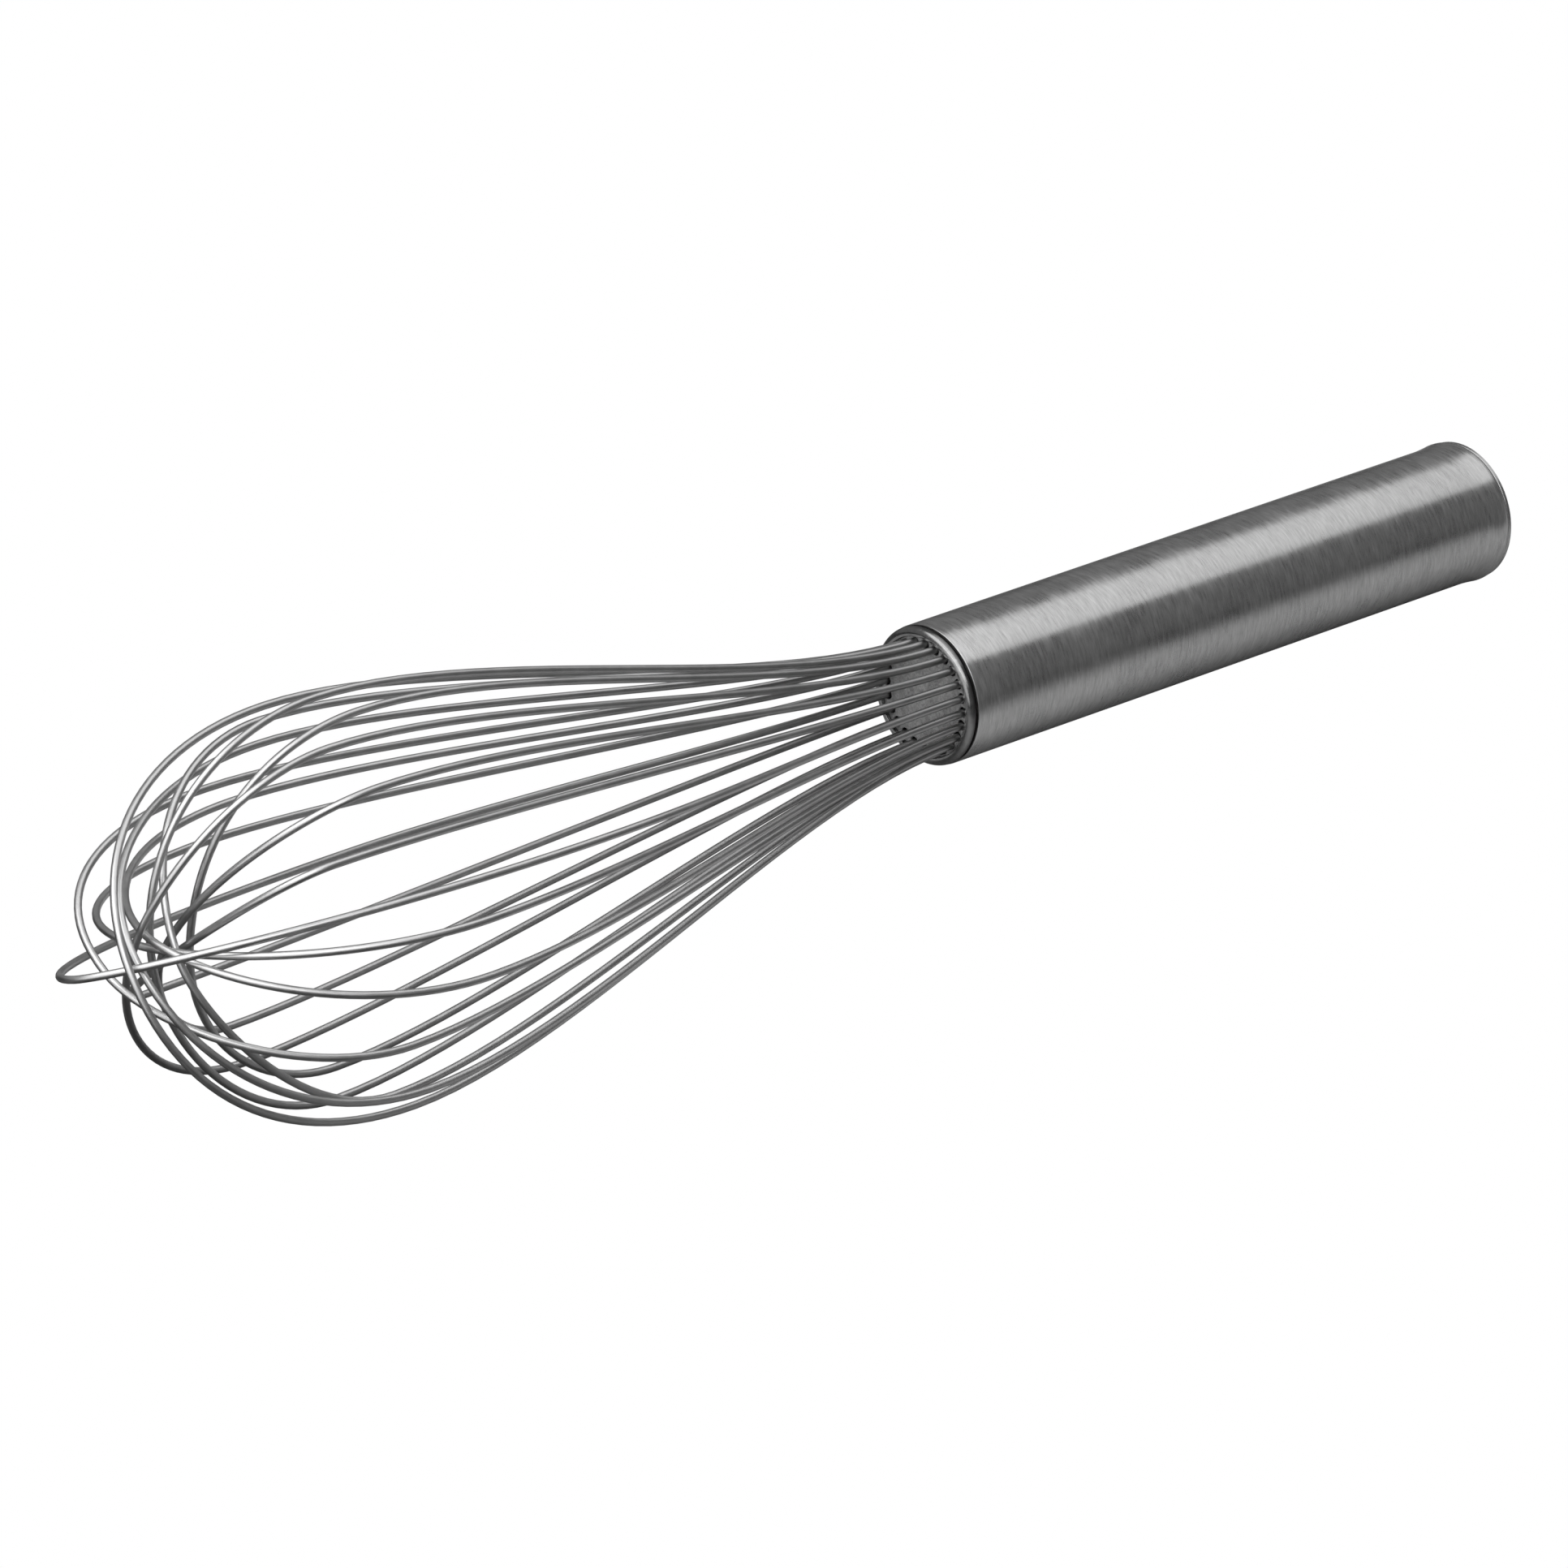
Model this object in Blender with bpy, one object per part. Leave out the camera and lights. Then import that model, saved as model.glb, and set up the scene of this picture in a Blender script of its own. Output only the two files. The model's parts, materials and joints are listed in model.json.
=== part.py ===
"""Balloon whisk: a steel tube handle, a collar that holds 24 wire ends, and twelve sprung wire loops."""
import math

import bmesh
import bpy
from mathutils import Matrix, Vector

MM = 0.001

# handle, measured along the whisk's axis from the seam between tube and collar
TUBE_RADIUS = 12.0
TUBE_WALL = 0.8
TUBE_LENGTH = 124.4
FLARE_LENGTH = 5.0
FLARE_RADIUS = 12.3
FLARE_TURN_IN = 0.8
SEAM_GAP = 0.35
RING_STEPS = 64

# collar at the wire end
COLLAR_RADIUS = 11.9
COLLAR_FACE = 1.3
COLLAR_BORE = 10.4
COLLAR_DEPTH = 8.0
SHOULDER_RADIUS = 1.2

# wires
WIRE_RADIUS = 0.65
WIRE_SIDES_RESOLUTION = 1
WIRE_SPANS = 10
END_COUNT = 24
HOLE_CIRCLE_RADIUS = 9.4
WIRE_INSERTION = 26.0
FLARE_OUT = 33.0
BELLY_BACK = 34.0
BELLY_FORWARD = 0.55

# notched discs
NOTCH_CLEARANCE = 0.3
GUIDE_RADIUS = 10.1
GUIDE_FRONT = 0.5
GUIDE_THICKNESS = 2.5
CORE_LENGTH = 20.0
INNER_DISC_THICKNESS = 2.0
INNER_DISC_RADIUS = 10.8
FIT_GAP = 0.3

# rear closure
CAP_RADIUS = 12.1
CAP_RIM = 0.6
CAP_RISE = 1.3
CAP_FLAT_RADIUS = 7.0
SPIGOT_RADIUS = 10.8
SPIGOT_LENGTH = 5.0
PLUG_LENGTH = 9.0

# how the whisk lies: turned about its own axis, then tilted until rim and belly both touch
LIE_TURN = 34.9
LIE_TILT = 4.98

# one row per loop, first hole angle rising by 15 degrees from loop to loop:
# swing of first strand, its belly radius, swing of second strand, its belly radius,
# belly position, reach of the tip, tip shift sideways, tip shift along the loop,
# fullness of the tip on the first and the second side (degrees and millimetres)
LOOPS = [
    (-6, 33, 1, 34.5, 125, 174, 8, 0, 19, 21),
    (-21, 31, -11, 32, 127, 161, 3, 0, 17, 9),
    (-6, 34, -2, 33.5, 128, 162, -3, 2, 19, 18),
    (-15, 31, -4, 33, 122, 151, -6, -4, 22, 18),
    (-15, 32, -6, 33, 135, 167, -2, 0, 15, 16),
    (-11, 32.5, -9, 32.5, 133, 156, -4, -4, 18, 13),
    (-10, 30, -7, 32.5, 146, 159, -1, 3, 18, 8),
    (-7, 33.5, -3, 33, 98, 177, -1, -3, 10, 16),
    (-12, 34.5, -3, 35, 124, 164, -2, -4, 18, 20),
    (-9, 32.5, -5, 32, 122, 165, -5, 1, 16, 14),
    (1, 29, -4, 28.5, 132, 170, 3, -3, 13, 19),
    (9, 33, -6, 29.5, 124, 170, -5, 0, 19, 15),
]

STEEL = (0.62, 0.62, 0.61)
BRIGHT = (0.72, 0.72, 0.71)
CAST = (0.55, 0.56, 0.55)
DULL = (0.40, 0.41, 0.41)


def clear_scene():
    for ob in list(bpy.data.objects):
        bpy.data.objects.remove(ob, do_unlink=True)


def make_material(name, colour, metallic, roughness):
    mat = bpy.data.materials.new(name)
    mat.use_nodes = True
    shader = mat.node_tree.nodes["Principled BSDF"]
    shader.inputs["Base Color"].default_value = (colour[0], colour[1], colour[2], 1.0)
    shader.inputs["Metallic"].default_value = metallic
    shader.inputs["Roughness"].default_value = roughness
    return mat


def add_mesh(name, bm, material):
    """Makes an object from a bmesh whose sizes are in millimetres."""
    bmesh.ops.scale(bm, vec=(MM, MM, MM), verts=bm.verts)
    bmesh.ops.recalc_face_normals(bm, faces=bm.faces)
    if bm.calc_volume(signed=True) < 0.0:
        bmesh.ops.reverse_faces(bm, faces=bm.faces)
    mesh = bpy.data.meshes.new(name)
    bm.to_mesh(mesh)
    bm.free()
    ob = bpy.data.objects.new(name, mesh)
    bpy.context.scene.collection.objects.link(ob)
    mesh.materials.append(material)
    return ob


def revolve(name, profile, material):
    """Turns a closed (along, radius) outline about the whisk's axis; radius 0 points become poles."""
    bm = bmesh.new()
    rings = []
    for along, radius in profile:
        if radius == 0.0:
            rings.append([bm.verts.new((along, 0.0, 0.0))])
            continue
        ring = []
        for i in range(RING_STEPS):
            angle = math.tau * i / RING_STEPS
            ring.append(bm.verts.new((along, radius * math.cos(angle), radius * math.sin(angle))))
        rings.append(ring)
    closed = profile[0][1] != 0.0
    pairs = list(zip(rings, rings[1:]))
    if closed:
        pairs.append((rings[-1], rings[0]))
    for first, second in pairs:
        for i in range(RING_STEPS):
            j = (i + 1) % RING_STEPS
            if len(first) == 1:
                bm.faces.new((first[0], second[i], second[j]))
            elif len(second) == 1:
                bm.faces.new((first[i], second[0], first[j]))
            else:
                bm.faces.new((first[i], second[i], second[j], first[j]))
    ob = add_mesh(name, bm, material)
    for face in ob.data.polygons:
        face.use_smooth = True
    return ob


def arc(centre, radius, start, end, steps):
    """Points on an arc in the (along, radius) plane, angles in degrees."""
    points = []
    for i in range(steps + 1):
        angle = math.radians(start + (end - start) * i / steps)
        points.append((centre[0] + radius * math.cos(angle), centre[1] + radius * math.sin(angle)))
    return points


def flare_radius(part_way):
    """Outer radius of the tube's rear flare, part_way from 0 to 1."""
    return TUBE_RADIUS + (FLARE_RADIUS - TUBE_RADIUS) * (1.0 - math.cos(part_way * math.pi / 2.0))


def build_tube(material):
    start = -SEAM_GAP
    flare_start = -(TUBE_LENGTH - FLARE_LENGTH)
    outer = [(start, TUBE_RADIUS - 0.1), (start - 0.1, TUBE_RADIUS)]
    inner = [(start, TUBE_RADIUS - TUBE_WALL)]
    crest = FLARE_LENGTH - FLARE_TURN_IN
    for i in range(5):
        along = flare_start - crest * i / 4.0
        outer.append((along, flare_radius(i / 4.0)))
        inner.append((along, flare_radius(i / 4.0) - TUBE_WALL))
    outer.append((-TUBE_LENGTH + FLARE_TURN_IN / 3.0, FLARE_RADIUS - 0.1))
    outer.append((-TUBE_LENGTH, FLARE_RADIUS - 0.35))
    inner.append((-TUBE_LENGTH, FLARE_RADIUS - TUBE_WALL))
    return revolve("handle_tube", outer + inner[::-1], material)


def build_collar(material):
    centre = (COLLAR_FACE - SHOULDER_RADIUS, COLLAR_RADIUS - SHOULDER_RADIUS)
    shoulder = arc(centre, SHOULDER_RADIUS, 90.0, 0.0, 6)
    spigot = TUBE_RADIUS - TUBE_WALL - 0.25
    profile = [(0.0, COLLAR_RADIUS - 0.1)] + shoulder
    profile += [(COLLAR_FACE, COLLAR_BORE), (-COLLAR_DEPTH, COLLAR_BORE)]
    profile += [(-COLLAR_DEPTH, spigot), (0.0, spigot)]
    return revolve("collar_ring", profile, material)


def notched_outline(radius):
    """Outline of a disc with one round-bottomed notch per wire end, open at the edge."""
    half_width = WIRE_RADIUS + NOTCH_CLEARANCE
    edge = math.asin(half_width / radius)
    points = []
    for i in range(END_COUNT):
        middle = math.tau * i / END_COUNT
        points.append((radius, middle - edge))
        for turn in (-90, -45, 0, 45, 90):
            across = half_width * math.sin(math.radians(turn))
            depth = HOLE_CIRCLE_RADIUS - half_width * math.cos(math.radians(turn))
            points.append((math.hypot(depth, across), middle + math.atan2(across, depth)))
        points.append((radius, middle + edge))
    return [(r * math.cos(a), r * math.sin(a)) for r, a in points]


def build_notched(name, radius, front, thickness, material):
    bm = bmesh.new()
    outline = notched_outline(radius)
    back = [bm.verts.new((front - thickness, y, z)) for y, z in outline]
    base = bm.faces.new(back)
    lifted = bmesh.ops.extrude_face_region(bm, geom=[base])
    moved = [item for item in lifted["geom"] if isinstance(item, bmesh.types.BMVert)]
    bmesh.ops.translate(bm, verts=moved, vec=(thickness, 0.0, 0.0))
    return add_mesh(name, bm, material)


def build_cap(material):
    rear = -TUBE_LENGTH
    rim = rear - FIT_GAP
    profile = [(rear + SPIGOT_LENGTH, 0.0), (rear + SPIGOT_LENGTH, SPIGOT_RADIUS), (rim, SPIGOT_RADIUS)]
    profile += [(rim, CAP_RADIUS - 0.3), (rim - 0.3, CAP_RADIUS), (rim - CAP_RIM, CAP_RADIUS)]
    for i in range(1, 6):
        part = i / 5.0
        radius = CAP_RADIUS + (CAP_FLAT_RADIUS - CAP_RADIUS) * part
        profile.append((rim - CAP_RIM - CAP_RISE * math.sin(part * math.pi / 2.0), radius))
    profile.append((rim - CAP_RIM - CAP_RISE, 0.0))
    return revolve("end_cap", profile, material)


def build_plug(material):
    rear = -TUBE_LENGTH + SPIGOT_LENGTH + FIT_GAP
    front = rear + PLUG_LENGTH
    profile = [(front, 0.0), (front, SPIGOT_RADIUS), (rear, SPIGOT_RADIUS), (rear, 0.0)]
    return revolve("end_plug", profile, material)


def around(along, angle, radius):
    """A point in the whisk's own frame, angle in degrees round the axis from the first hole."""
    turn = math.radians(angle)
    return Vector((along, radius * math.cos(turn), -radius * math.sin(turn)))


def loop_controls(index):
    """Bezier control points of a loop: (handle before, point, handle after) from end to end."""
    swing1, belly1, swing2, belly2, belly_at, reach, aside, inline, full1, full2 = LOOPS[index]
    first = 360.0 / END_COUNT * index
    second = first + 180.0
    ahead = Vector((1.0, 0.0, 0.0))
    hole1 = around(0.0, first, HOLE_CIRCLE_RADIUS)
    hole2 = around(0.0, second, HOLE_CIRCLE_RADIUS)
    side1 = around(belly_at, first + swing1, belly1)
    side2 = around(belly_at, second + swing2, belly2)
    tip = ahead * reach + around(0.0, first + 90.0, aside) + around(0.0, first, inline)
    across = (side1 - side2).normalized()
    forward = ahead * BELLY_FORWARD * (reach - belly_at)
    flare = ahead * FLARE_OUT
    back = ahead * BELLY_BACK
    inside = ahead * WIRE_INSERTION
    third = inside / 3.0
    return [
        (hole1 - inside - third, hole1 - inside, hole1 - inside + third),
        (hole1 - third, hole1, hole1 + flare),
        (side1 - back, side1, side1 + forward),
        (tip + across * full1, tip, tip - across * full2),
        (side2 + forward, side2, side2 - back),
        (hole2 + flare, hole2, hole2 - third),
        (hole2 - inside + third, hole2 - inside, hole2 - inside - third),
    ]


def build_wire(index, material):
    name = "wire_%02d" % (index + 1)
    curve = bpy.data.curves.new(name, "CURVE")
    curve.dimensions = "3D"
    curve.resolution_u = WIRE_SPANS
    curve.render_resolution_u = WIRE_SPANS
    curve.bevel_depth = WIRE_RADIUS * MM
    curve.bevel_resolution = WIRE_SIDES_RESOLUTION
    curve.use_fill_caps = True
    controls = loop_controls(index)
    spline = curve.splines.new("BEZIER")
    spline.bezier_points.add(len(controls) - 1)
    for point, (before, middle, after) in zip(spline.bezier_points, controls):
        point.handle_left_type = "FREE"
        point.handle_right_type = "FREE"
        point.handle_left = before * MM
        point.co = middle * MM
        point.handle_right = after * MM
    ob = bpy.data.objects.new(name, curve)
    bpy.context.scene.collection.objects.link(ob)
    curve.materials.append(material)
    return ob


def world_bounds(objects):
    graph = bpy.context.evaluated_depsgraph_get()
    low = Vector((math.inf, math.inf, math.inf))
    high = -low
    for ob in objects:
        shape = ob.evaluated_get(graph)
        mesh = shape.to_mesh()
        for vertex in mesh.vertices:
            place = shape.matrix_world @ vertex.co
            for k in range(3):
                low[k] = min(low[k], place[k])
                high[k] = max(high[k], place[k])
        shape.to_mesh_clear()
    return low, high


def lay_down(objects):
    """Turns the whisk so the balloon points to -X, lays it on z = 0 and centres it on the origin."""
    to_row = Matrix(((-1.0, 0.0, 0.0, 0.0), (0.0, 0.0, 1.0, 0.0), (0.0, 1.0, 0.0, 0.0), (0.0, 0.0, 0.0, 1.0)))
    turn = Matrix.Rotation(math.radians(LIE_TURN), 4, "X")
    tilt = Matrix.Rotation(math.radians(LIE_TILT), 4, "Y")
    whole = tilt @ to_row @ turn
    for ob in objects:
        ob.data.transform(whole)
    bpy.context.view_layer.update()
    low, high = world_bounds(objects)
    shift = Matrix.Translation((-(low.x + high.x) / 2.0, -(low.y + high.y) / 2.0, -low.z))
    for ob in objects:
        ob.data.transform(shift)


def build():
    clear_scene()
    brushed = make_material("handle_steel", STEEL, 1.0, 0.32)
    polished = make_material("collar_steel", BRIGHT, 1.0, 0.15)
    cap_steel = make_material("cap_steel", BRIGHT, 1.0, 0.25)
    guide_steel = make_material("guide_steel", CAST, 0.8, 0.6)
    resin = make_material("seal_resin", DULL, 0.0, 0.6)
    disc_steel = make_material("disc_steel", DULL, 1.0, 0.5)
    plug_resin = make_material("plug_resin", DULL, 0.0, 0.7)
    wire_steel = make_material("wire_steel", BRIGHT, 1.0, 0.22)
    core_front = GUIDE_FRONT - GUIDE_THICKNESS - FIT_GAP
    disc_front = core_front - CORE_LENGTH - FIT_GAP
    objects = [
        build_tube(brushed),
        build_cap(cap_steel),
        build_collar(polished),
        build_notched("wire_guide", GUIDE_RADIUS, GUIDE_FRONT, GUIDE_THICKNESS, guide_steel),
        build_notched("seal_core", GUIDE_RADIUS, core_front, CORE_LENGTH, resin),
        build_notched("inner_disc", INNER_DISC_RADIUS, disc_front, INNER_DISC_THICKNESS, disc_steel),
        build_plug(plug_resin),
    ]
    for index in range(len(LOOPS)):
        objects.append(build_wire(index, wire_steel))
    lay_down(objects)


build()
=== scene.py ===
import json
import math
import bpy
import bmesh
from mathutils import Matrix, Vector


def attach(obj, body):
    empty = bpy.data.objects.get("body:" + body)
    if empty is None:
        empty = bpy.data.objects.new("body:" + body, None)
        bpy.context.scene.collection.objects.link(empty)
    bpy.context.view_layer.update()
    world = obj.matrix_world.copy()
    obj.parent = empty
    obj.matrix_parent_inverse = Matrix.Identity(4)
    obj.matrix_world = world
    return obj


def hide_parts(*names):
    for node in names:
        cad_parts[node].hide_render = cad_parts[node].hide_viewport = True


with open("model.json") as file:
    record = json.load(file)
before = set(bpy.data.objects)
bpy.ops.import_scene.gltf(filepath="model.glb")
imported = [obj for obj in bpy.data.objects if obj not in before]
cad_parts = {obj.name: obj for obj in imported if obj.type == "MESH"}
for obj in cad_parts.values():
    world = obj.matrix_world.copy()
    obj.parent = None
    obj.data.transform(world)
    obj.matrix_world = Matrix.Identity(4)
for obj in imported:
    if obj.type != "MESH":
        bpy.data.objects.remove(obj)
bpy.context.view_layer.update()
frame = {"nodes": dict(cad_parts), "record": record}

mm = 0.001

# the whisk's own frame: origin at the seam between tube and collar, +X towards the balloon's tip
endFace = frame["record"]["mounts"][0]
rearward = Vector(endFace["axis"]).normalized()
lieTurn = math.radians(34.9)
lieTilt = math.asin(-rearward.z)
seamToEndFace = 126.6 * mm
toRow = Matrix(((-1, 0, 0, 0), (0, 0, 1, 0), (0, 1, 0, 0), (0, 0, 0, 1)))
seam = Vector(endFace["pos_m"]) - rearward * seamToEndFace
barrelPlace = Matrix.Translation(seam) @ Matrix.Rotation(lieTilt, 4, "Y") @ toRow
whiskPlace = barrelPlace @ Matrix.Rotation(lieTurn, 4, "X")


def link(ob):
    bpy.context.scene.collection.objects.link(ob)
    return ob


def place(ob, nodes, spot):
    ob.matrix_world = spot
    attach(ob, "root")
    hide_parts(*nodes)
    return ob


# node helpers

def newMaterial(name):
    mat = bpy.data.materials.new(name)
    mat.use_nodes = True
    tree = mat.node_tree
    return mat, tree, tree.nodes["Principled BSDF"]


def addNode(tree, kind, **settings):
    node = tree.nodes.new(kind)
    for key, value in settings.items():
        setattr(node, key, value)
    return node


def stretchedNoise(tree, scale, detail, stretch=(1.0, 1.0, 1.0), roughness=0.6):
    # noise in the piece's own metres; a stretch below 1 draws it out along that axis
    coord = addNode(tree, "ShaderNodeTexCoord")
    mapping = addNode(tree, "ShaderNodeMapping")
    mapping.inputs["Scale"].default_value = stretch
    noise = addNode(tree, "ShaderNodeTexNoise")
    noise.inputs["Scale"].default_value = scale
    noise.inputs["Detail"].default_value = detail
    noise.inputs["Roughness"].default_value = roughness
    tree.links.new(coord.outputs["Object"], mapping.inputs["Vector"])
    tree.links.new(mapping.outputs["Vector"], noise.inputs["Vector"])
    return noise.outputs["Fac"]


def coordinates(tree, source="Object"):
    coord = addNode(tree, "ShaderNodeTexCoord")
    split = addNode(tree, "ShaderNodeSeparateXYZ")
    tree.links.new(coord.outputs[source], split.inputs["Vector"])
    return split.outputs


def remap(tree, value, fromRange, toRange):
    node = addNode(tree, "ShaderNodeMapRange")
    node.inputs["From Min"].default_value, node.inputs["From Max"].default_value = fromRange
    node.inputs["To Min"].default_value, node.inputs["To Max"].default_value = toRange
    tree.links.new(value, node.inputs["Value"])
    return node.outputs["Result"]


# what the noise really spans, since it seldom comes near 0 or 1
noiseSpan = (0.3, 0.7)
cloudSpan = (0.35, 0.65)


def grey(tree, value):
    node = addNode(tree, "ShaderNodeCombineColor")
    for k in range(3):
        tree.links.new(value, node.inputs[k])
    return node.outputs["Color"]


def combine(tree, kind, first, *others):
    # adds or multiplies values, from the first to the last
    for other in others:
        node = addNode(tree, "ShaderNodeMath", operation=kind)
        tree.links.new(first, node.inputs[0])
        tree.links.new(other, node.inputs[1])
        first = node.outputs["Value"]
    return first


def addBump(tree, shader, value, strength, distance):
    bump = addNode(tree, "ShaderNodeBump")
    bump.inputs["Strength"].default_value = strength
    bump.inputs["Distance"].default_value = distance
    tree.links.new(value, bump.inputs["Height"])
    tree.links.new(bump.outputs["Normal"], shader.inputs["Normal"])


def finishSurface(tree, shader, tone, roughness, metallic):
    tree.links.new(grey(tree, tone), shader.inputs["Base Color"])
    tree.links.new(roughness, shader.inputs["Roughness"])
    shader.inputs["Metallic"].default_value = metallic


def mixForEye(tree, lit, white, out):
    # plain white where it is looked at, the lit shader wherever it lights or reflects
    eye = addNode(tree, "ShaderNodeLightPath")
    mix = addNode(tree, "ShaderNodeMixShader")
    tree.links.new(eye.outputs["Is Camera Ray"], mix.inputs[0])
    tree.links.new(lit.outputs[0], mix.inputs[1])
    tree.links.new(white.outputs[0], mix.inputs[2])
    tree.links.new(mix.outputs[0], out.inputs["Surface"])


# materials

brushedLook = {
    "tone": 0.47, "strokeTone": 0.066, "patchTone": 0.066, "cloudTone": 0.0275,
    "cloudRoughness": (0.27, 0.34), "streakRoughness": (-0.04, 0.04),
    "anisotropy": 0.70, "anisotropyTurn": 0.25,
    "strokePitch": 4600.0, "strokeStretch": (1.0, 0.10, 0.10),
    "patchPitch": 1900.0, "patchStretch": (1.0, 0.16, 0.16),
    "cloudPitch": 110.0, "cloudStretch": (0.8, 1.0, 1.0),
    "scratchDepth": 0.10, "scratchSize": 0.06 * mm,
}


def brushedSteel(look):
    # satin tube: fine strokes run round the handle, with a few cloudy finger marks
    mat, tree, shader = newMaterial("brushed handle steel")
    strokes = stretchedNoise(tree, look["strokePitch"], 3.0, look["strokeStretch"])
    patches = stretchedNoise(tree, look["patchPitch"], 3.0, look["patchStretch"])
    clouds = stretchedNoise(tree, look["cloudPitch"], 5.0, look["cloudStretch"])
    middle, spread = look["tone"], look["strokeTone"]
    strokeTone = remap(tree, strokes, noiseSpan, (middle - spread, middle + spread))
    patchTone = remap(tree, patches, noiseSpan, (-look["patchTone"], look["patchTone"]))
    cloudTone = remap(tree, clouds, cloudSpan, (-look["cloudTone"], look["cloudTone"]))
    tone = combine(tree, "ADD", strokeTone, patchTone, cloudTone)
    rough = remap(tree, clouds, cloudSpan, look["cloudRoughness"])
    streak = remap(tree, patches, noiseSpan, look["streakRoughness"])
    finishSurface(tree, shader, tone, combine(tree, "ADD", rough, streak), 1.0)
    shader.inputs["Anisotropic"].default_value = look["anisotropy"]
    shader.inputs["Anisotropic Rotation"].default_value = look["anisotropyTurn"]
    tangent = addNode(tree, "ShaderNodeTangent", direction_type="RADIAL", axis="X")
    tree.links.new(tangent.outputs["Tangent"], shader.inputs["Tangent"])
    scratches = combine(tree, "ADD", strokes, patches)
    addBump(tree, shader, scratches, look["scratchDepth"], look["scratchSize"])
    return mat


# painted shade: the collar's base tone is darkened next to the seam groove, clearing over its first part
collarLook = {"tone": (0.25, 0.33), "roughness": (0.176, 0.264), "grain": 900.0, "depth": 0.12,
              "seamShadeReach": (0.0, 0.8 * mm), "seamShadeTone": (0.04, 1.0)}
capLook = {"tone": (0.36, 0.46), "roughness": (0.256, 0.384), "grain": 1200.0, "depth": 0.2}
discLook = {"tone": (0.26, 0.34), "roughness": (0.36, 0.54), "grain": 1500.0, "depth": 0.3}
markSize = 0.03 * mm


def polishedSteel(name, look):
    mat, tree, shader = newMaterial(name)
    marks = stretchedNoise(tree, look["grain"], 4.0)
    tone = remap(tree, marks, noiseSpan, look["tone"])
    # painted shade by the seam: tone darkened near X = 0, clearing by 0.8 mm
    if "seamShadeReach" in look:
        seamShade = remap(tree, coordinates(tree)["X"], look["seamShadeReach"], look["seamShadeTone"])
        tone = combine(tree, "MULTIPLY", tone, seamShade)
    finishSurface(tree, shader, tone, remap(tree, marks, noiseSpan, look["roughness"]), 1.0)
    addBump(tree, shader, marks, look["depth"], markSize)
    return mat


# the tone ramp along the wire's length is painted light and shade
wireLook = {"tipLightReach": (-0.13, 0.02), "tipLightTone": (0.60, 0.37), "markTone": (-0.04, 0.04),
            "roughness": (0.33, 0.41), "grain": 260.0}


def drawnWire(look):
    # painted light and shade: base tone lighter towards the tip, darker where the strands crowd into the
    # handle
    mat, tree, shader = newMaterial("bright drawn wire")
    marks = stretchedNoise(tree, look["grain"], 4.0)
    # painted light and shade along the wire: lighter at the tip, darker near the handle
    paintedLight = remap(tree, coordinates(tree)["X"], look["tipLightReach"], look["tipLightTone"])
    tone = combine(tree, "ADD", paintedLight, remap(tree, marks, noiseSpan, look["markTone"]))
    finishSurface(tree, shader, tone, remap(tree, marks, noiseSpan, look["roughness"]), 1.0)
    return mat


guide = {"radius": 10.35, "front": 0.55, "thickness": 2.5, "ease": 0.06, "easeMiddle": 0.3, "steps": 144,
         "holes": 24, "holeCircle": 9.2, "holeRadius": 0.9, "holeSteps": 24}
guideLook = {"speckPitch": 2600.0, "speckTone": (0.22, 0.52), "blotPitch": 520.0, "blotTone": (-0.10, 0.10),
             "holeShadeReach": ((guide["front"] - 0.5) * mm, (guide["front"] - 0.08) * mm),
             "holeShadeTone": (0.05, 1.0), "roughness": (0.65, 0.42), "metallic": 0.45,
             "pitDepth": 0.35, "pitSize": 0.1 * mm}


def pittedSteel(look):
    # the guide disc: blasted and speckled, duller than everything round it, with painted shade darkening its
    # holes
    mat, tree, shader = newMaterial("pitted guide steel")
    specks = stretchedNoise(tree, look["speckPitch"], 5.0, roughness=0.7)
    blots = stretchedNoise(tree, look["blotPitch"], 3.0)
    speckTone = remap(tree, specks, noiseSpan, look["speckTone"])
    blotTone = remap(tree, blots, noiseSpan, look["blotTone"])
    face = combine(tree, "ADD", speckTone, blotTone)
    # painted shade in the holes: tone darkens behind the disc's front face
    depth = remap(tree, coordinates(tree)["X"], look["holeShadeReach"], look["holeShadeTone"])
    roughness = remap(tree, specks, noiseSpan, look["roughness"])
    finishSurface(tree, shader, combine(tree, "MULTIPLY", face, depth), roughness, look["metallic"])
    addBump(tree, shader, specks, look["pitDepth"], look["pitSize"])
    return mat


coreLook = {"tone": (0.05, 0.10), "roughness": (0.5, 0.7), "grain": 900.0}
plugLook = {"tone": (0.10, 0.16), "roughness": (0.5, 0.7), "grain": 900.0}


def castResin(name, look):
    mat, tree, shader = newMaterial(name)
    mottle = stretchedNoise(tree, look["grain"], 4.0)
    tone = remap(tree, mottle, noiseSpan, look["tone"])
    finishSurface(tree, shader, tone, remap(tree, mottle, noiseSpan, look["roughness"]), 0.0)
    return mat


handleSteel = brushedSteel(brushedLook)
collarSteel = polishedSteel("polished collar steel", collarLook)
capSteel = polishedSteel("end cap steel", capLook)
wireSteel = drawnWire(wireLook)
guideSteel = pittedSteel(guideLook)
discSteel = polishedSteel("inner disc steel", discLook)
coreResin = castResin("seal resin", coreLook)
plugResin = castResin("plug resin", plugLook)
print("materials made")


# handle pieces, all in millimetres along and out from the handle's axis

def fromBmesh(name, bm, material, sharpDegrees):
    bmesh.ops.recalc_face_normals(bm, faces=bm.faces)
    if bm.calc_volume(signed=True) < 0:
        bmesh.ops.reverse_faces(bm, faces=bm.faces)
    mesh = bpy.data.meshes.new(name)
    bm.to_mesh(mesh)
    bm.free()
    for face in mesh.polygons:
        face.use_smooth = True
    mesh.set_sharp_from_angle(angle=math.radians(sharpDegrees))
    mesh.materials.append(material)
    return link(bpy.data.objects.new(name, mesh))


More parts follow.
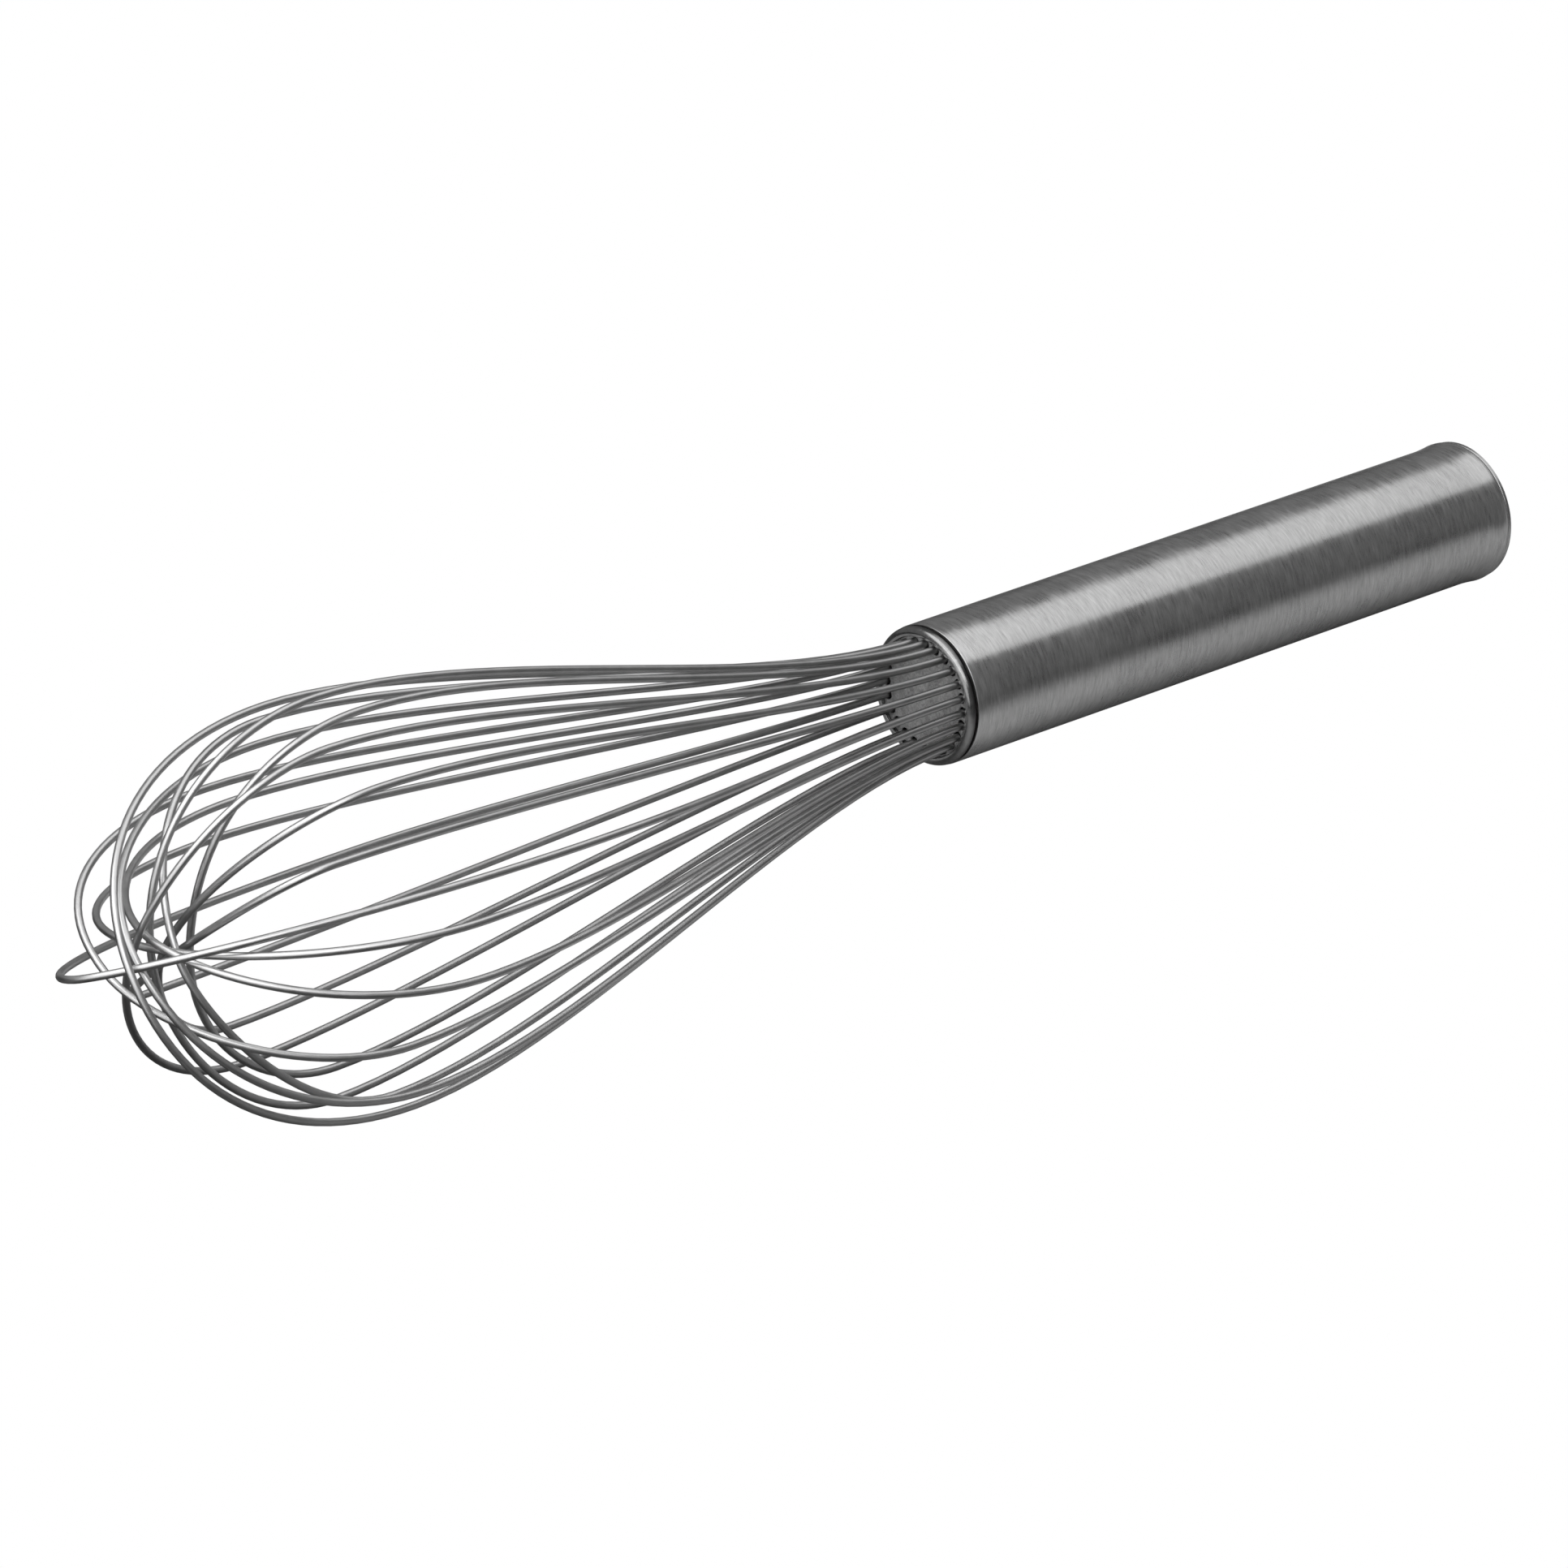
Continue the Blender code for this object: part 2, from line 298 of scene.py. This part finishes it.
def turned(name, outline, steps, material, sharpDegrees):
    # the outline is (along, radius) pairs; it closes on itself, or at a pole where the radius is 0
    bm = bmesh.new()
    rings = []
    for along, radius in outline:
        ring = []
        for i in range(1 if radius == 0 else steps):
            angle = math.tau * i / steps
            spot = (along * mm, radius * mm * math.cos(angle), radius * mm * math.sin(angle))
            ring.append(bm.verts.new(spot))
        rings.append(ring)
    pairs = list(zip(rings, rings[1:]))
    if outline[0][1] != 0:
        pairs.append((rings[-1], rings[0]))
    for first, second in pairs:
        for i in range(steps):
            j = (i + 1) % steps
            if len(first) == 1:
                bm.faces.new((first[0], second[i], second[j]))
            elif len(second) == 1:
                bm.faces.new((first[i], second[0], first[j]))
            else:
                bm.faces.new((first[i], second[i], second[j], first[j]))
    return fromBmesh(name, bm, material, sharpDegrees)


def arc(along, radius, size, start, end, steps):
    points = []
    for i in range(steps + 1):
        angle = math.radians(start + (end - start) * i / steps)
        points.append((along + size * math.cos(angle), radius + size * math.sin(angle)))
    return points


# seamExtra and overCap are how far the tube differs from the CAD at its two ends
tube = {
    "radius": 12.0, "wall": 0.8, "length": 124.4, "edge": 0.12, "edgeSteps": 4,
    "seamGap": 0.35, "seamExtra": 0.2, "barrelSteps": 12, "barrelShort": 0.4,
    "flareLength": 5.0, "flareRadius": 12.3, "flareSteps": 12,
    "turnIn": 0.8, "overCap": 0.24, "lipDrop": 0.35, "lipSteps": 6, "steps": 192,
}


def makeTube():
    front = -tube["seamGap"] - tube["seamExtra"]
    rear = -tube["length"] - tube["overCap"]
    straight = tube["length"] - tube["flareLength"]
    crest = tube["flareLength"] - tube["turnIn"]
    shoulder = front - tube["edge"]
    outline = arc(shoulder, tube["radius"] - tube["edge"], tube["edge"], 0, 90, tube["edgeSteps"])
    for i in range(1, tube["barrelSteps"]):
        along = (straight - tube["barrelShort"]) * i / tube["barrelSteps"]
        outline.append((shoulder - along, tube["radius"]))
    flare = []
    for i in range(tube["flareSteps"] + 1):
        part = i / tube["flareSteps"]
        grow = (tube["flareRadius"] - tube["radius"]) * (1 - math.cos(part * math.pi / 2))
        flare.append((-straight - crest * part, tube["radius"] + grow))
    outline += flare
    for i in range(1, tube["lipSteps"] + 1):
        angle = math.pi / 2 * i / tube["lipSteps"]
        back = tube["turnIn"] * (1 - math.sin(angle))
        drop = tube["lipDrop"] * (1 - math.cos(angle))
        outline.append((rear + back, tube["flareRadius"] - drop))
    outline.append((rear, tube["flareRadius"] - tube["wall"]))
    outline += [(along, radius - tube["wall"]) for along, radius in flare[::-1]]
    outline.append((front, tube["radius"] - tube["wall"]))
    ob = turned("handleTube", outline, tube["steps"], handleSteel, 50)
    return place(ob, ["handle_tube"], barrelPlace)


cap = {"radius": 12.1, "gap": 0.3, "rim": 0.6, "rise": 1.3, "flat": 7.0, "domeSteps": 14,
       "spigot": 10.8, "spigotLength": 5.0, "edge": 0.2, "edgeSteps": 4, "steps": 160}


def makeCap():
    front = -tube["length"] + cap["spigotLength"]
    rim = -tube["length"] - cap["gap"]
    edge = cap["edge"]
    outline = [(front, 0), (front, cap["spigot"] - edge), (front - edge, cap["spigot"]), (rim, cap["spigot"])]
    outline += arc(rim - edge, cap["radius"] - edge, edge, 0, 90, cap["edgeSteps"])
    outline.append((rim - cap["rim"], cap["radius"]))
    for i in range(1, cap["domeSteps"] + 1):
        part = i / cap["domeSteps"]
        radius = cap["radius"] + (cap["flat"] - cap["radius"]) * part
        outline.append((rim - cap["rim"] - cap["rise"] * math.sin(part * math.pi / 2), radius))
    outline.append((rim - cap["rim"] - cap["rise"], 0))
    ob = turned("endCap", outline, cap["steps"], capSteel, 60)
    return place(ob, ["end_cap"], barrelPlace)


collar = {
    "radius": 11.9, "face": 1.3, "bore": 10.4, "depth": 8.0, "spigot": 10.95,
    "footDrop": 0.18, "footEase": (0.06, 0.04), "shoulder": 1.2, "shoulderTurn": (90, 8), "shoulderSteps": 12,
    "faceSet": 0.05, "faceRise": 0.45, "lip": 0.12, "lipSteps": 4, "steps": 192,
}


def makeCollar():
    shoulder, lip = collar["shoulder"], collar["lip"]
    face = collar["face"] - collar["faceSet"]
    easeAlong, easeDrop = collar["footEase"]
    outline = [(0.0, collar["radius"] - collar["footDrop"]), (easeAlong, collar["radius"] - easeDrop)]
    outline += arc(collar["face"] - shoulder, collar["radius"] - shoulder, shoulder,
                   *collar["shoulderTurn"], collar["shoulderSteps"])
    outline.append((face, collar["bore"] + collar["faceRise"]))
    outline += arc(face - lip, collar["bore"] + lip, lip, 0, -90, collar["lipSteps"])
    for radius in (collar["bore"], collar["spigot"]):
        outline.append((-collar["depth"], radius))
    outline.append((0.0, collar["spigot"]))
    ob = turned("collarRing", outline, collar["steps"], collarSteel, 60)
    return place(ob, ["collar_ring"], barrelPlace)


def wallRound(bm, across, up, radius, points, outward):
    # eased wall of a round edge in the guide disc; gives back its front and back edges
    ease = guide["ease"] * outward
    front = guide["front"]
    back = front - guide["thickness"]
    steps = [
        (front, radius - ease),
        (front - guide["ease"] * guide["easeMiddle"], radius - ease * guide["easeMiddle"]),
        (front - guide["ease"], radius),
        (back + guide["ease"], radius),
        (back, radius - ease),
    ]
    rings = []
    for along, size in steps:
        ring = []
        for i in range(points):
            angle = math.tau * i / points
            spot = Vector((along, across + size * math.cos(angle), up + size * math.sin(angle)))
            ring.append(bm.verts.new(spot * mm))
        rings.append(ring)
    for first, second in zip(rings, rings[1:]):
        for i in range(points):
            j = (i + 1) % points
            bm.faces.new((first[i], second[i], second[j], first[j]))
    return [
        [bm.edges.get((ring[i], ring[(i + 1) % points])) for i in range(points)]
        for ring in (rings[0], rings[-1])
    ]


def makeGuide():
    # a drilled disc; the thin webs outside the wires catch the light
    bm = bmesh.new()
    front, back = wallRound(bm, 0, 0, guide["radius"], guide["steps"], 1)
    for i in range(guide["holes"]):
        angle = math.tau * i / guide["holes"] + lieTurn
        across, up = guide["holeCircle"] * math.cos(angle), guide["holeCircle"] * math.sin(angle)
        holeFront, holeBack = wallRound(bm, across, up, guide["holeRadius"], guide["holeSteps"], -1)
        front += holeFront
        back += holeBack
    for edges, facing in ((front, 1), (back, -1)):
        bmesh.ops.triangle_fill(bm, use_beauty=True, use_dissolve=False, edges=edges, normal=(facing, 0, 0))
    ob = fromBmesh("wireGuide", bm, guideSteel, 50)
    return place(ob, ["wire_guide"], barrelPlace)


makeTube()
makeCap()
makeCollar()
makeGuide()
print("handle pieces made")


# wire loops

wires = {"radius": 0.65, "holeCircle": 9.4, "insertion": 26.0, "flareOut": 33.0, "bellyBack": 34.0,
         "bellyForward": 0.55, "endPitch": 15.0, "spans": 26, "roundness": 5}

# one row per loop, in degrees and millimetres: swing of the first strand, its belly radius, the same
# two for the second strand, belly position, reach of the tip, its shift aside and in line, and the
# tip's fullness on either side
loopShapes = [
    (-6, 33, 1, 34.5, 125, 174, 8, 0, 19, 21),
    (-21, 31, -11, 32, 127, 161, 3, 0, 17, 9),
    (-6, 34, -2, 33.5, 128, 162, -3, 2, 19, 18),
    (-15, 31, -4, 33, 122, 151, -6, -4, 22, 18),
    (-15, 32, -6, 33, 135, 167, -2, 0, 15, 16),
    (-11, 32.5, -9, 32.5, 133, 156, -4, -4, 18, 13),
    (-10, 30, -7, 32.5, 146, 159, -1, 3, 18, 8),
    (-7, 33.5, -3, 33, 98, 177, -1, -3, 10, 16),
    (-12, 34.5, -3, 35, 124, 164, -2, -4, 18, 20),
    (-9, 32.5, -5, 32, 122, 165, -5, 1, 16, 14),
    (1, 29, -4, 28.5, 132, 170, 3, -3, 13, 19),
    (9, 33, -6, 29.5, 124, 170, -5, 0, 19, 15),
]


def around(along, angle, radius):
    turn = math.radians(angle)
    return Vector((along, radius * math.cos(turn), -radius * math.sin(turn)))


def loopControls(index):
    # (handle before, point, handle after) from one end of the wire to the other
    swing1, belly1, swing2, belly2, bellyAt, reach, aside, inline, full1, full2 = loopShapes[index]
    first = wires["endPitch"] * index
    second = first + 180
    ahead = Vector((1, 0, 0))
    hole1 = around(0, first, wires["holeCircle"])
    hole2 = around(0, second, wires["holeCircle"])
    side1 = around(bellyAt, first + swing1, belly1)
    side2 = around(bellyAt, second + swing2, belly2)
    tip = ahead * reach + around(0, first + 90, aside) + around(0, first, inline)
    across = (side1 - side2).normalized()
    forward = ahead * wires["bellyForward"] * (reach - bellyAt)
    flare = ahead * wires["flareOut"]
    back = ahead * wires["bellyBack"]
    inside = ahead * wires["insertion"]
    third = inside / 3
    return [
        (hole1 - inside - third, hole1 - inside, hole1 - inside + third),
        (hole1 - third, hole1, hole1 + flare),
        (side1 - back, side1, side1 + forward),
        (tip + across * full1, tip, tip - across * full2),
        (side2 + forward, side2, side2 - back),
        (hole2 + flare, hole2, hole2 - third),
        (hole2 - inside + third, hole2 - inside, hole2 - inside - third),
    ]


def makeWire(index):
    curve = bpy.data.curves.new("wireLoop%02d" % (index + 1), "CURVE")
    curve.dimensions = "3D"
    curve.resolution_u = wires["spans"]
    curve.render_resolution_u = wires["spans"]
    curve.bevel_depth = wires["radius"] * mm
    curve.bevel_resolution = wires["roundness"]
    curve.use_fill_caps = True
    controls = loopControls(index)
    spline = curve.splines.new("BEZIER")
    spline.bezier_points.add(len(controls) - 1)
    for point, (before, middle, after) in zip(spline.bezier_points, controls):
        point.handle_left_type = "FREE"
        point.handle_right_type = "FREE"
        point.handle_left = before * mm
        point.co = middle * mm
        point.handle_right = after * mm
    curve.materials.append(wireSteel)
    curve.transform(whiskPlace)
    ob = link(bpy.data.objects.new(curve.name, curve))
    return place(ob, ["wire_%02d" % (index + 1)], Matrix.Identity(4))


for index in range(len(loopShapes)):
    makeWire(index)
print("wire loops made")


# the hidden CAD pieces keep their shape

for nodeName, material in (("seal_core", coreResin), ("inner_disc", discSteel), ("end_plug", plugResin)):
    ob = frame["nodes"][nodeName]
    if not ob.material_slots:
        ob.data.materials.append(material)
    for materialSlot in ob.material_slots:
        materialSlot.material = material
print("hidden pieces painted")


# studio

table = {
    "size": 6.0, "grid": 24,
    "lightPoolReach": (0.045, 0.10), "lightPoolTone": (0.50, 0.11),
    "shadeReach": (0.004, 0.022), "shadeTone": (0.45, 1.0),
    "tipShadeReach": (-0.13, -0.05), "tipShadeTone": (0.15, 1.0),
}


def makeTable():
    # white to the eye; in reflections the tone is painted light and shade: a painted pool of light in the
    # strip beside the whisk, a painted shadow right under the handle and painted shade under the balloon's
    # tip
    bm = bmesh.new()
    bmesh.ops.create_grid(bm, x_segments=table["grid"], y_segments=table["grid"], size=table["size"] / 2)
    mesh = bpy.data.meshes.new("studioTable")
    bm.to_mesh(mesh)
    bm.free()
    floor = link(bpy.data.objects.new("studioTable", mesh))
    mat, tree, shader = newMaterial("table white")
    tree.nodes.remove(shader)
    spot = coordinates(tree)
    away = addNode(tree, "ShaderNodeMath", operation="ABSOLUTE")
    tree.links.new(spot["Y"], away.inputs[0])
    # painted pool of light, falling off away from the whisk
    far = remap(tree, away.outputs["Value"], table["lightPoolReach"], table["lightPoolTone"])
    # painted shadow under the handle
    shade = remap(tree, away.outputs["Value"], table["shadeReach"], table["shadeTone"])
    # painted shade under the balloon's tip
    tipShade = remap(tree, spot["X"], table["tipShadeReach"], table["tipShadeTone"])
    diffuse = addNode(tree, "ShaderNodeBsdfDiffuse")
    tree.links.new(grey(tree, combine(tree, "MULTIPLY", far, shade, tipShade)), diffuse.inputs["Color"])
    white = addNode(tree, "ShaderNodeEmission")
    white.inputs["Strength"].default_value = 1.0
    mixForEye(tree, diffuse, white, tree.nodes["Material Output"])
    mesh.materials.append(mat)


sky = {"reach": (-0.6, 0.8), "tone": (0.165, 0.24)}


def makeSky():
    world = bpy.data.worlds.new("studio air")
    bpy.context.scene.world = world
    world.use_nodes = True
    tree = world.node_tree
    tree.nodes.clear()
    tone = remap(tree, coordinates(tree, "Generated")["Y"], sky["reach"], sky["tone"])
    room = addNode(tree, "ShaderNodeBackground")
    tree.links.new(grey(tree, tone), room.inputs["Color"])
    white = addNode(tree, "ShaderNodeBackground")
    white.inputs["Color"].default_value = (1, 1, 1, 1)
    mixForEye(tree, room, white, addNode(tree, "ShaderNodeOutputWorld"))


lamps = [
    # name, place, turn in degrees, length, width, brightness
    ("handleBox", (0.75, 0.0, 1.05), (0, 0, 0), 1.7, 1.22, 1.05),
    ("tipBox", (-0.75, -0.2, 1.05), (0, 0, 0), 1.2, 2.4, 2.0),
    ("leftPanel", (-1.35, -0.35, 0.65), (0, -90, 0), 1.3, 1.9, 1.05),
]


def makeLamps():
    for name, spot, turn, length, width, brightness in lamps:
        light = bpy.data.lights.new(name, "AREA")
        light.shape = "RECTANGLE"
        light.size = length
        light.size_y = width
        light.energy = brightness * math.pi * length * width
        ob = link(bpy.data.objects.new(name, light))
        ob.location = spot
        ob.rotation_euler = [math.radians(v) for v in turn]


cameraView = {"place": (-1.004997, -1.115973, 0.886319), "turn": (59.893312, 0.112225, -41.903167),
              "lens": 243.2236, "sensor": 36.0, "clip": (0.05, 20)}


def makeCamera():
    data = bpy.data.cameras.new("frontCamera")
    data.lens = cameraView["lens"]
    data.sensor_width = cameraView["sensor"]
    data.clip_start, data.clip_end = cameraView["clip"]
    ob = link(bpy.data.objects.new("frontCamera", data))
    ob.location = cameraView["place"]
    ob.rotation_euler = [math.radians(v) for v in cameraView["turn"]]
    bpy.context.scene.camera = ob


makeTable()
makeSky()
makeLamps()
makeCamera()
bpy.context.scene.view_settings.view_transform = "Standard"
print("studio ready")
